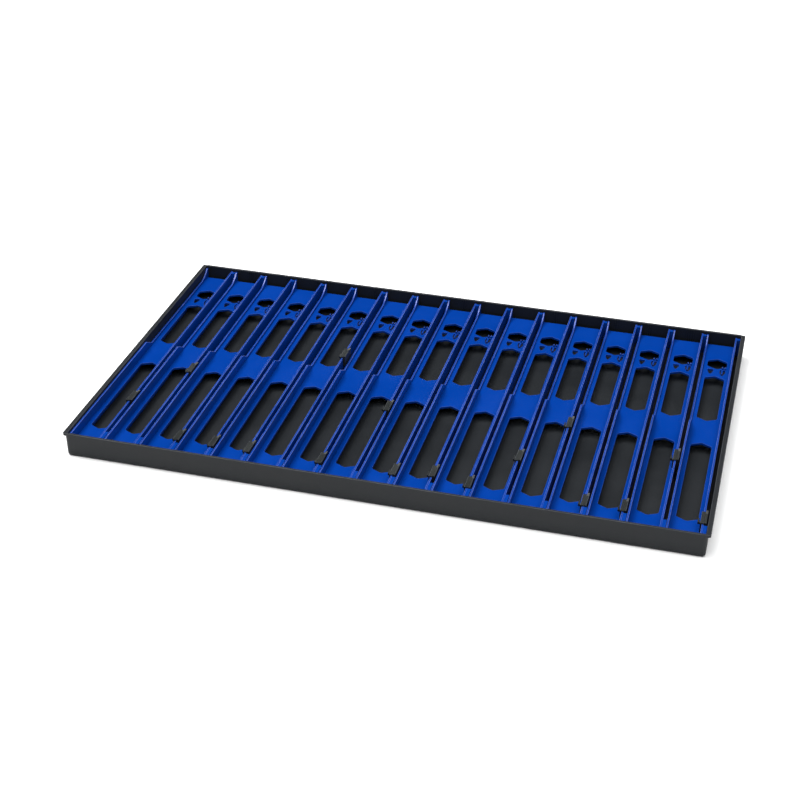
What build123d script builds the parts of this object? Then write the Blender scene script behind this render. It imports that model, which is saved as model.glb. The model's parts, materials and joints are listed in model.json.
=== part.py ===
from build123d import *
import os

os.makedirs("parts", exist_ok=True)

# A winder tray: one shallow moulded tray that holds a row of slider winders for fishing rigs.
# Origin: centre of the tray's footprint, on the surface it stands on. X along the row, Y along each
# winder towards the end with the six-sided hole, Z up. Millimetres.

# ---- winder: driving dimensions
winder_count = 17
winder_width = 24.75
winder_gap = 0.3
winder_length = 260.6
winder_height = 14.0
side_wall = 1.2
rail_wall = 1.25
rail_recess = 2.4
web_thickness = 1.5
web_top_height = 6.75
web_inset = 1.3

# ---- winder: the side wall's stepped top edge
low_wall_height = 8.7
step_top_y = 3.0
step_foot_y = 12.0
horn_foot_y = 115.0
horn_top_y = 129.0
step_radius = 4.0
nose_radius = 3.0
tail_radius = 1.2

# ---- winder: two slots and an end hole down the middle of the web, six-sided, given by their points
opening_width = 14.1
opening_point = 3.6
opening_radius = 2.3
front_slot = (-107.6, -12.6)
rear_slot = (16.9, 81.1)
end_hole = (91.9, 107.1)

# ---- winder: two five-sided holes behind the rear slot, each with its point to the front
# line notch, an open hole
notch_centre = -4.1
notch_width = 4.0
notch_rear = 91.2
notch_shoulder = 88.3
notch_front = 83.0
# line cleat, a hole with a flat tongue left standing in it and two low fins behind
cleat_centre = 4.65
cleat_width = 4.0
cleat_rear = 91.3
cleat_shoulder = 87.0
cleat_front = 81.5
hole_corner = 0.6
tongue_offset = -0.35
tongue_width = 1.2
tongue_front = 85.6
fin_width = 0.8
fin_length = 1.6
fin_height = 1.8
fin_spread = 1.95
fin_gap = 0.3

# ---- winder: stops at the ends of the rail
front_stop_length = 9.9
rear_stop_length = 3.7

# ---- slider clip
slider_length = 15.6
slider_fit = 0.1
slider_cap = 0.7
slider_rib = 0.35
slider_outer_cheek = 1.5
slider_inner_cheek = 1.0
slider_cheek_depth = 6.2
slider_tail = 2.5
slider_ramp = 4.8
slider_ramp_drop = 0.8
slider_hook_front = 4.6
slider_hook_reach = 1.8
slider_hook_length = 4.8
slider_hook_bar = 1.0
slider_hook_depth = 1.6
slider_hook_top = 14.9
stop_clearance = 0.1

# distance of each slider from the front stop, as the winders are stored
slider_places = (41, 89, 2, 1, 1, 140, 1, 77, 1, 6, 0, 40, 90, 0, 1, 69, 1)

# ---- tray: driving dimensions
tray_depth = 266.0
tray_height = 17.6
floor_thickness = 1.8
long_wall = 1.8
short_wall = 1.7
wall_draft = 0.6
lip_reach = 1.4
lip_thickness = 2.0
lip_setback = 0.5
lip_corner_radius = 1.5
corner_radius = 3.0
inner_corner_radius = 0.8
bottom_edge_radius = 2.0

# ---- tray: ribs inside the long walls and the flow lines outside
panel_width = 72.0
panel_lines = (-2, -1, 0, 1, 2)
rib_width = 0.8
rib_depth = 0.45
rib_spacing = 1.7
rib_height = 15.2
extra_rib_groups = ((-175.0, 4), (-119.0, 2), (119.0, 2), (175.0, 4))
line_width = 0.5
line_depth = 0.45

# ---- small edge radii
edge_radius = 0.35
web_edge_radius = 0.3
web_end_radius = 0.6
fin_edge_radius = 0.25
rim_edge_radius = 0.4
slider_edge_radius = 0.3
slider_hook_radius = 0.35
touch = 0.05

# ---- worked out from the driving dimensions
winder_pitch = winder_width + winder_gap
inner_width = winder_count * winder_pitch + winder_gap
body_width = inner_width + 2 * short_wall
inner_depth = tray_depth - 2 * long_wall

winder_bottom = floor_thickness
winder_top = winder_bottom + winder_height
low_wall_top = winder_bottom + low_wall_height
web_top = winder_bottom + web_top_height
half_width = winder_width / 2
half_length = winder_length / 2
channel_left = -half_width + side_wall
rail_outer = half_width - rail_recess
rail_inner = rail_outer - rail_wall
channel_centre = (channel_left + rail_inner) / 2
web_width = rail_inner - channel_left
web_length = winder_length - 2 * web_inset
front_stop_y = -half_length + front_stop_length
rear_stop_y = half_length - rear_stop_length
first_slider_y = front_stop_y + stop_clearance + slider_length / 2


def winder_x(number):
    """Centre of a winder's width, counted from 1 at the left."""
    return (number - (winder_count + 1) / 2) * winder_pitch


def write(solid, name):
    """Label one finished piece and write its STEP file."""
    solid.label = name
    export_step(solid, f"parts/{name}.step")


# ---- winder: walls, web, rail stops and openings, modelled once at the middle of the row
with BuildPart() as winder:
    # side wall: full height in front, low behind, and a horn at the rear end
    with BuildSketch(Plane.YZ.offset(-half_width)) as side_profile:
        with BuildLine():
            Polyline(
                (horn_top_y, winder_top),
                (half_length, winder_top),
                (half_length, winder_bottom),
                (-half_length, winder_bottom),
                (-half_length, winder_top),
                (step_top_y, winder_top),
                (step_foot_y, low_wall_top),
                (horn_foot_y, low_wall_top),
            )
            TangentArc((horn_foot_y, low_wall_top), (horn_top_y, winder_top), tangent=(1, 0))
        make_face()
        side_corners = side_profile.vertices().filter_by_position(Axis.Z, low_wall_top, winder_top)
        step_corners = side_corners.filter_by_position(Axis.Y, step_top_y, step_foot_y)
        fillet(step_corners, step_radius)
        fillet(side_profile.vertices().group_by(Axis.Z)[-1].sort_by(Axis.Y)[0], nose_radius)
    extrude(amount=side_wall)

    # rail wall: full height from end to end
    with BuildSketch(Plane.YZ.offset(rail_inner)) as rail_profile:
        with Locations((0, (winder_top + winder_bottom) / 2)):
            Rectangle(winder_length, winder_height)
        rail_corners = rail_profile.vertices().group_by(Axis.Z)[-1].sort_by(Axis.Y)
        fillet(rail_corners[0], nose_radius)
        fillet(rail_corners[-1], tail_radius)
    extrude(amount=rail_wall)

    top_edges = winder.edges().filter_by(Plane.YZ)
    top_edges = top_edges.filter_by_position(Axis.Z, low_wall_top - touch, winder_top + touch)
    fillet(top_edges.filter_by(lambda edge: edge.length > nose_radius * 2), edge_radius)

    # rail stops: full-height blocks that close the rail at both ends
    for stop_y, stop_length, corner in (
        (-half_length + front_stop_length / 2, front_stop_length, nose_radius),
        (half_length - rear_stop_length / 2, rear_stop_length, tail_radius),
    ):
        with BuildSketch(Plane.YZ.offset(rail_outer)) as stop_profile:
            with Locations((stop_y, (winder_top + winder_bottom) / 2)):
                Rectangle(stop_length, winder_height)
            top_corners = stop_profile.vertices().group_by(Axis.Z)[-1].sort_by(Axis.Y)
            fillet(top_corners[0 if stop_y < 0 else -1], corner)
        extrude(amount=rail_recess)

    # web between the two walls, a little shorter than they are
    with BuildSketch(Plane.XY.offset(web_top)):
        with Locations((channel_centre, 0)):
            Rectangle(web_width, web_length)
    extrude(amount=-web_thickness)
    web_ends = winder.edges().filter_by(Axis.X)
    web_ends = web_ends.filter_by_position(Axis.Z, web_top - touch, web_top + touch)
    fillet(web_ends, web_end_radius)

    # two slots and the end hole: six-sided, with a point at each end
    for front_point, rear_point in (front_slot, rear_slot, end_hole):
        opening_left = channel_centre - opening_width / 2
        opening_right = channel_centre + opening_width / 2
        with BuildSketch(Plane.XY.offset(web_top)) as opening:
            with BuildLine():
                Polyline(
                    (channel_centre, rear_point),
                    (opening_left, rear_point - opening_point),
                    (opening_left, front_point + opening_point),
                    (channel_centre, front_point),
                    (opening_right, front_point + opening_point),
                    (opening_right, rear_point - opening_point),
                    close=True,
                )
            make_face()
            fillet(opening.vertices(), opening_radius)
        extrude(amount=-web_thickness, mode=Mode.SUBTRACT)

    # line notch and line cleat, which keeps its tongue
    notch_x = channel_centre + notch_centre
    cleat_x = channel_centre + cleat_centre
    tongue_x = cleat_x + tongue_offset
    for hole_x, hole_width, hole_rear, hole_shoulder, hole_front in (
        (notch_x, notch_width, notch_rear, notch_shoulder, notch_front),
        (cleat_x, cleat_width, cleat_rear, cleat_shoulder, cleat_front),
    ):
        with BuildSketch(Plane.XY.offset(web_top)) as hole:
            with BuildLine():
                Polyline(
                    (hole_x - hole_width / 2, hole_rear),
                    (hole_x - hole_width / 2, hole_shoulder),
                    (hole_x, hole_front),
                    (hole_x + hole_width / 2, hole_shoulder),
                    (hole_x + hole_width / 2, hole_rear),
                    close=True,
                )
            make_face()
            fillet(hole.vertices(), hole_corner)
            if hole_x == cleat_x:
                with Locations((tongue_x, (tongue_front + cleat_rear) / 2)):
                    Rectangle(tongue_width, cleat_rear - tongue_front, mode=Mode.SUBTRACT)
        extrude(amount=-web_thickness, mode=Mode.SUBTRACT)

    opening_edges = winder.edges().filter_by(Plane.XY)
    opening_edges = opening_edges.filter_by_position(Axis.Z, web_top - touch, web_top + touch)
    opening_edges = opening_edges.filter_by_position(Axis.X, channel_left + 1, rail_inner - 1)
    opening_edges = opening_edges.filter_by_position(Axis.Y, front_slot[0] - 1, end_hole[1] + 1)
    fillet(opening_edges, web_edge_radius)

    # two low fins, a fork that holds the line: one behind the tongue, the other to its right
    with BuildSketch(Plane.XY.offset(web_top - web_thickness / 2)):
        with Locations((tongue_x + fin_spread / 2, cleat_rear + fin_gap + fin_length / 2)):
            with GridLocations(fin_spread, 1, 2, 1):
                Rectangle(fin_width, fin_length)
    extrude(amount=fin_height + web_thickness / 2)
    fin_top = web_top + fin_height
    fin_edges = winder.edges().filter_by_position(Axis.Z, fin_top - touch, fin_top + touch)
    fillet(fin_edges.filter_by_position(Axis.X, channel_left + 1, rail_inner - 1), fin_edge_radius)

# ---- slider clip: a saddle over the rail with a line hook on its inner cheek, at the middle of the rail
with BuildPart() as slider:
    saddle_left = rail_inner - slider_fit - slider_inner_cheek
    saddle_right = rail_outer + slider_fit + slider_outer_cheek
    saddle_step = rail_outer + slider_fit
    cap_bottom = winder_top + slider_fit
    cap_top = cap_bottom + slider_cap
    saddle_foot = winder_top - slider_cheek_depth
    with BuildSketch(Plane.XZ) as saddle_profile:
        with BuildLine():
            Polyline(
                (saddle_left, saddle_foot),
                (saddle_left, cap_top),
                (saddle_step, cap_top),
                (saddle_step, cap_top + slider_rib),
                (saddle_right, cap_top + slider_rib),
                (saddle_right, saddle_foot),
                (saddle_step, saddle_foot),
                (saddle_step, cap_bottom),
                (rail_inner - slider_fit, cap_bottom),
                (rail_inner - slider_fit, saddle_foot),
                close=True,
            )
        make_face()
        cap_corners = saddle_profile.vertices()
        cap_corners = cap_corners.filter_by_position(Axis.Y, cap_top - touch, cap_top + slider_rib + touch)
        fillet([cap_corners.sort_by(Axis.X)[0], cap_corners.sort_by(Axis.X)[-1]], slider_edge_radius)
    extrude(amount=slider_length / 2, both=True)

    # the rear end is cut back to the outer cheek, and the top of that slopes down as a thumb ramp
    tail_start = slider_length / 2 - slider_tail
    with BuildSketch(Plane.XY.offset(cap_top + slider_rib)):
        with Locations(((saddle_left + saddle_step) / 2, tail_start + slider_tail / 2)):
            Rectangle(saddle_step - saddle_left, slider_tail)
    extrude(amount=-slider_cheek_depth * 2, mode=Mode.SUBTRACT)
    with BuildSketch(Plane.YZ.offset(saddle_step)):
        with BuildLine():
            Polyline(
                (slider_length / 2 - slider_ramp, cap_top + slider_rib),
                (slider_length / 2, cap_top + slider_rib),
                (slider_length / 2, cap_top + slider_rib - slider_ramp_drop),
                close=True,
            )
        make_face()
    extrude(amount=slider_outer_cheek, mode=Mode.SUBTRACT)

    # line hook: a bar that reaches into the channel and turns back towards the rear
    hook_left = saddle_left - slider_hook_reach
    hook_front = -slider_hook_front
    with BuildSketch(Plane.XY.offset(slider_hook_top)) as hook_outline:
        with BuildLine():
            Polyline(
                (saddle_left, hook_front),
                (hook_left, hook_front),
                (hook_left, hook_front + slider_hook_length),
                (hook_left + slider_hook_bar, hook_front + slider_hook_length),
                (hook_left + slider_hook_bar, hook_front + slider_hook_bar),
                (saddle_left, hook_front + slider_hook_bar),
                close=True,
            )
        make_face()
        free_corners = hook_outline.vertices()
        free_corners = free_corners.filter_by_position(Axis.X, hook_left - touch, saddle_left - touch)
        fillet(free_corners, slider_hook_radius)
    extrude(amount=-slider_hook_depth)

# ---- tray: one moulding with drafted walls, a lip along each short side and ribs inside the long walls
with BuildPart() as tray:
    with BuildSketch():
        RectangleRounded(body_width - 2 * wall_draft, tray_depth - 2 * wall_draft, corner_radius - wall_draft)
    with BuildSketch(Plane.XY.offset(tray_height)):
        RectangleRounded(body_width, tray_depth, corner_radius)
    loft()
    fillet(tray.faces().sort_by(Axis.Z)[0].edges(), bottom_edge_radius)
    with BuildSketch(Plane.XY.offset(tray_height)):
        RectangleRounded(body_width + 2 * lip_reach, tray_depth - 2 * lip_setback, lip_corner_radius)
    extrude(amount=-lip_thickness)
    with BuildSketch(Plane.XY.offset(floor_thickness)):
        RectangleRounded(inner_width, inner_depth, inner_corner_radius)
    extrude(amount=tray_height, mode=Mode.SUBTRACT)
    fillet(tray.faces().sort_by(Axis.Z)[-1].edges(), rim_edge_radius)

    # fine locating ribs on the inside of both long walls
    rib_places = [(line * panel_width, 2) for line in panel_lines] + list(extra_rib_groups)
    with BuildSketch(Plane.XY.offset(floor_thickness)):
        for group_x, rib_count in rib_places:
            for wall_y in (-inner_depth / 2 + rib_depth / 2, inner_depth / 2 - rib_depth / 2):
                with Locations((group_x, wall_y)):
                    with GridLocations(rib_spacing, 1, rib_count, 1):
                        Rectangle(rib_width, rib_depth)
    extrude(amount=rib_height)

    # shallow upright lines that part the outside of both long walls into equal panels
    for line in panel_lines:
        with BuildSketch(Plane.YZ.offset(line * panel_width - line_width / 2)):
            with BuildLine():
                Polyline(
                    (tray_depth / 2 + 1, 0),
                    (tray_depth / 2 - wall_draft - line_depth, 0),
                    (tray_depth / 2 - line_depth, tray_height),
                    (tray_depth / 2 + 1, tray_height),
                    close=True,
                )
            line_face = make_face()
            mirror(line_face, about=Plane.XZ)
        extrude(amount=line_width, mode=Mode.SUBTRACT)

write(tray.part, "tray")

# ---- the row: every winder and its slider, each piece in a file of its own
for number in range(1, winder_count + 1):
    with BuildPart() as placed_winder:
        with Locations((winder_x(number), 0, 0)):
            add(winder.part)
    write(placed_winder.part, f"winder_{number:02d}")
    slider_y = first_slider_y + slider_places[number - 1]
    with BuildPart() as placed_slider:
        with Locations((winder_x(number), slider_y, 0)):
            add(slider.part)
    write(placed_slider.part, f"slider_{number:02d}")
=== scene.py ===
import json
import math

import bmesh
import bpy
from mathutils import Matrix, Vector

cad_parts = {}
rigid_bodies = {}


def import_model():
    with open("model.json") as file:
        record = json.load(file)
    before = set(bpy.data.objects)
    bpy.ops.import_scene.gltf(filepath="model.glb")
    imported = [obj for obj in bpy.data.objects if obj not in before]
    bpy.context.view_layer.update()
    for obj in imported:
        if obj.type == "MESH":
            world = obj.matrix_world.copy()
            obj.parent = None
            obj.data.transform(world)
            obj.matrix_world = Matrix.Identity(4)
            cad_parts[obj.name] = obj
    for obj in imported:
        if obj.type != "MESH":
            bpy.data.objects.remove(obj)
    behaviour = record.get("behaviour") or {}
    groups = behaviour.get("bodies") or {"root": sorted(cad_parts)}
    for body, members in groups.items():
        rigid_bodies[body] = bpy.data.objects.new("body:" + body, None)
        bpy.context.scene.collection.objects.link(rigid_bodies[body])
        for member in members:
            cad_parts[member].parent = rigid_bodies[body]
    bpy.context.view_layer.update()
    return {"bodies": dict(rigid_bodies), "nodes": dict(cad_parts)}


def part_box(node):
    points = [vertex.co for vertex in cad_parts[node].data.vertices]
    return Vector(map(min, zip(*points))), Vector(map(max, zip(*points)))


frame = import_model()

# ---- Camera
# A long lens on a tripod in front of the tray, a little to its right and looking down on it.
# It is held almost level, with a slight roll.
camera_place = Vector((0.2326, -0.9599, 0.5969))
camera_azimuth = math.radians(14.552)
camera_elevation = math.radians(31.062)
camera_roll = math.radians(0.709)
lens = bpy.data.cameras.new("tripod_camera")
lens.sensor_width = 36.0
lens.lens = 72.52
lens.clip_start = 0.01
lens.clip_end = 20.0
camera = bpy.data.objects.new("tripod_camera", lens)
bpy.context.scene.collection.objects.link(camera)
camera.matrix_world = (
    Matrix.Translation(camera_place)
    @ Matrix.Rotation(camera_azimuth, 4, "Z")
    @ Matrix.Rotation(math.pi / 2 - camera_elevation, 4, "X")
    @ Matrix.Rotation(camera_roll, 4, "Z")
)
bpy.context.scene.camera = camera
bpy.context.scene.view_settings.view_transform = "Standard"


# ---- Studio
# A white table that sweeps up into a low white backdrop, brighter behind the tray than in front, under
# a dim ceiling. One soft box above and to the left casts the pale shadow, and a wider one fills it.
def fade(tree, source, low, high, at_low, at_high):
    """A smooth change from one strength to another as a value goes from low to high."""
    step = tree.nodes.new("ShaderNodeMapRange")
    step.interpolation_type = "SMOOTHSTEP"
    step.inputs["From Min"].default_value = low
    step.inputs["From Max"].default_value = high
    step.inputs["To Min"].default_value = at_low
    step.inputs["To Max"].default_value = at_high
    tree.links.new(source, step.inputs["Value"])
    return step.outputs["Result"]


def combine(tree, operation, first, second):
    """Two values put together by one sum."""
    node = tree.nodes.new("ShaderNodeMath")
    node.operation = operation
    tree.links.new(first, node.inputs[0])
    tree.links.new(second, node.inputs[1])
    return node.outputs["Value"]


def split_coordinate(tree, kind):
    """The X, Y and Z parts of one kind of coordinate."""
    place = tree.nodes.new("ShaderNodeTexCoord")
    parts = tree.nodes.new("ShaderNodeSeparateXYZ")
    tree.links.new(place.outputs[kind], parts.inputs["Vector"])
    return parts.outputs


def node_material(name):
    """A new material with nodes, and its shader."""
    material = bpy.data.materials.new(name)
    material.use_nodes = True
    return material, material.node_tree.nodes["Principled BSDF"]


studio = bpy.data.worlds.new("white_sweep")
bpy.context.scene.world = studio
studio.use_nodes = True
studio_tree = studio.node_tree
heading = split_coordinate(studio_tree, "Generated")
ceiling = fade(studio_tree, heading["Y"], -0.1, 0.45, 0.2, 0.01)
sweep = fade(studio_tree, heading["Z"], 0.06, 0.2, 1.0, 0.0)
behind = fade(studio_tree, heading["Y"], 0.0, 0.6, 0.0, 1.0)
low_band = fade(studio_tree, heading["Z"], 0.15, 0.3, 2.5, 0.0)
backdrop = combine(studio_tree, "MULTIPLY", behind, low_band)
room = combine(studio_tree, "MAXIMUM", ceiling, sweep)
glow = combine(studio_tree, "MAXIMUM", room, backdrop)
studio_light = studio_tree.nodes["Background"]
studio_light.inputs["Color"].default_value = (0.96, 0.98, 1.0, 1.0)
studio_tree.links.new(glow, studio_light.inputs["Strength"])

table_half = 4.0
table_mesh = bmesh.new()
bmesh.ops.create_grid(table_mesh, x_segments=8, y_segments=8, size=table_half)
table_data = bpy.data.meshes.new("table_top")
table_mesh.to_mesh(table_data)
table_mesh.free()
table_top = bpy.data.objects.new("table_top", table_data)
bpy.context.scene.collection.objects.link(table_top)
paper, paper_shader = node_material("white_paper")
paper_shader.inputs["Base Color"].default_value = (0.9, 0.9, 0.9, 1.0)
paper_shader.inputs["Roughness"].default_value = 0.7
paper_shader.inputs["Specular IOR Level"].default_value = 0.2
table_data.materials.append(paper)


def soft_box(name, place, target, size, power):
    """One square soft box aimed at a point."""
    lamp = bpy.data.lights.new(name, "AREA")
    lamp.shape = "SQUARE"
    lamp.size = size
    lamp.energy = power
    lamp_object = bpy.data.objects.new(name, lamp)
    bpy.context.scene.collection.objects.link(lamp_object)
    aim = (Vector(target) - Vector(place)).to_track_quat("-Z", "Y")
    lamp_object.matrix_world = Matrix.Translation(place) @ aim.to_matrix().to_4x4()


soft_box("key_box", place=(-0.8, 0.25, 1.9), target=(0.0, 0.0, 0.0), size=1.0, power=36.0)
soft_box("fill_box", place=(0.15, -0.2, 1.3), target=(0.05, 0.0, 0.0), size=2.0, power=38.0)

# ---- Tray
# One injection moulding in black polypropylene, satin and very finely grained from its mould. A pale
# grey painted highlight lies along the rounded edges of its rim and lips.
patch_scale = 28.0
# Size of the patches that break up the painted edge highlights.
highlight_patch_scale = 45.0
edge_softness = 0.0004
above_top = 0.001


def noise(tree, scale, detail):
    """Noise that is fixed to the piece it is on."""
    place = tree.nodes.new("ShaderNodeTexCoord")
    texture = tree.nodes.new("ShaderNodeTexNoise")
    texture.inputs["Scale"].default_value = scale
    texture.inputs["Detail"].default_value = detail
    tree.links.new(place.outputs["Object"], texture.inputs["Vector"])
    return texture.outputs["Fac"]


def moulded_plastic(name, colour, roughness, specular, grain_size, grain_depth, mottle):
    """A moulded plastic: faint patches in its colour and gloss, and the fine grain of its mould."""
    material, shader = node_material(name)
    tree = material.node_tree
    shader.inputs["Specular IOR Level"].default_value = specular

    patches = noise(tree, patch_scale, 4.0)
    tone = tree.nodes.new("ShaderNodeValToRGB")
    darker, lighter = tone.color_ramp.elements
    darker.position, lighter.position = 0.3, 0.7
    darker.color = (*[part * (1 - mottle) for part in colour], 1.0)
    lighter.color = (*[part * (1 + mottle) for part in colour], 1.0)
    tree.links.new(patches, tone.inputs["Fac"])
    tree.links.new(tone.outputs["Color"], shader.inputs["Base Color"])
    gloss = fade(tree, patches, 0.3, 0.7, roughness - 0.04, roughness + 0.04)
    tree.links.new(gloss, shader.inputs["Roughness"])

    relief = tree.nodes.new("ShaderNodeBump")
    relief.inputs["Strength"].default_value = 1.0
    relief.inputs["Distance"].default_value = grain_depth
    tree.links.new(noise(tree, 1.0 / grain_size, 3.0), relief.inputs["Height"])
    tree.links.new(relief.outputs["Normal"], shader.inputs["Normal"])
    return material


def edge_mask(tree, lowest, highest):
    """1 on the rounded edges that lie between two heights, 0 on flat faces."""
    lean = split_coordinate(tree, "Normal")["Z"]
    height = split_coordinate(tree, "Object")["Z"]
    off_flat = fade(tree, lean, 0.94, 0.985, 1.0, 0.0)
    off_upright = fade(tree, lean, 0.1, 0.3, 0.0, 1.0)
    above = fade(tree, height, lowest, lowest + edge_softness, 0.0, 1.0)
    below = fade(tree, height, highest - edge_softness, highest, 1.0, 0.0)
    rounded = combine(tree, "MULTIPLY", off_flat, off_upright)
    return combine(tree, "MULTIPLY", rounded, combine(tree, "MULTIPLY", above, below))


def paint_edge_highlight(material, colour, lowest, highest, highlight_strength):
    """A painted highlight: paler rounded edges between two heights, broken up by small patches."""
    tree = material.node_tree
    shader = tree.nodes["Principled BSDF"]
    under = shader.inputs["Base Color"].links[0].from_socket
    # Painted highlight: noise patches, kept only on the rounded edges, blend in the paler colour.
    highlight_patches = fade(tree, noise(tree, highlight_patch_scale, 2.0), 0.35, 0.65, highlight_strength * 0.5, highlight_strength)
    lit_edges = combine(tree, "MULTIPLY", edge_mask(tree, lowest, highest), highlight_patches)
    blend = tree.nodes.new("ShaderNodeMix")
    blend.data_type = "RGBA"
    tree.links.new(lit_edges, blend.inputs["Factor"])
    tree.links.new(under, blend.inputs["A"])
    blend.inputs["B"].default_value = (*colour, 1.0)
    tree.links.new(blend.outputs["Result"], shader.inputs["Base Color"])


def dress(piece, material):
    """One material over a whole piece, in its named slot."""
    piece.data.materials.clear()
    piece.data.materials.append(material)


rim_band = 0.0025
tray_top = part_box("tray")[1][2]
tray_plastic = moulded_plastic(
    "black_tray_plastic", colour=(0.0085, 0.0100, 0.0118), roughness=0.45, specular=0.2,
    grain_size=0.0008, grain_depth=0.00004, mottle=0.12,
)
# Painted highlight: a paler grey on the rounded edges at the top of the rim and lips.
paint_edge_highlight(tray_plastic, (0.045, 0.048, 0.056), tray_top - rim_band, tray_top + above_top, highlight_strength=0.9)
dress(frame["nodes"]["tray"], tray_plastic)

# ---- Winders
# Seventeen flat winders in royal-blue polystyrene, glossier than the tray, each moulded in one piece
# with its two walls, its web and the closed ends of its rail. A pale painted highlight lies along the
# top edges of the walls, broken up by small patches; the edges round the openings in the web are duller,
# where the mould closed.
web_edge_height = 0.0092
dull_edge_roughness = 0.7
winder_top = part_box("winder_01")[1][2]
winder_plastic = moulded_plastic(
    "royal_blue_plastic", colour=(0.0003, 0.031, 0.222), roughness=0.2, specular=0.3,
    grain_size=0.0012, grain_depth=0.00002, mottle=0.06,
)
# Painted highlight: pale lavender blue on the rounded top edges of the walls, above the web.
paint_edge_highlight(winder_plastic, (0.12, 0.17, 0.50), web_edge_height, winder_top + above_top, highlight_strength=0.6)
winder_tree = winder_plastic.node_tree
winder_roughness = winder_tree.nodes["Principled BSDF"].inputs["Roughness"]
polished = winder_roughness.links[0].from_socket
web_edges = edge_mask(winder_tree, 0.0, web_edge_height)
dulled = fade(winder_tree, web_edges, 0.0, 1.0, 0.0, dull_edge_roughness)
winder_tree.links.new(combine(winder_tree, "MAXIMUM", polished, dulled), winder_roughness)

# ---- Sliders
# Each winder's clip, moulded in dark grey acetal and pushed over the rail, where it grips by friction.
# Its saddle is satin, and a lighter painted highlight lies along its top edges.
highlight_band = 0.0012
slider_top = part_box("slider_01")[1][2]
slider_plastic = moulded_plastic(
    "dark_grey_acetal", colour=(0.0095, 0.0115, 0.0115), roughness=0.36, specular=0.4,
    grain_size=0.0006, grain_depth=0.00003, mottle=0.15,
)
# Painted highlight: a lighter grey on the rounded top edges of each slider.
paint_edge_highlight(slider_plastic, (0.06, 0.066, 0.072), slider_top - highlight_band, slider_top + above_top, highlight_strength=0.8)

for body in frame["bodies"]:
    if body.startswith("winder_"):
        dress(frame["nodes"][body], winder_plastic)
    elif body.startswith("slider_"):
        dress(frame["nodes"][body], slider_plastic)
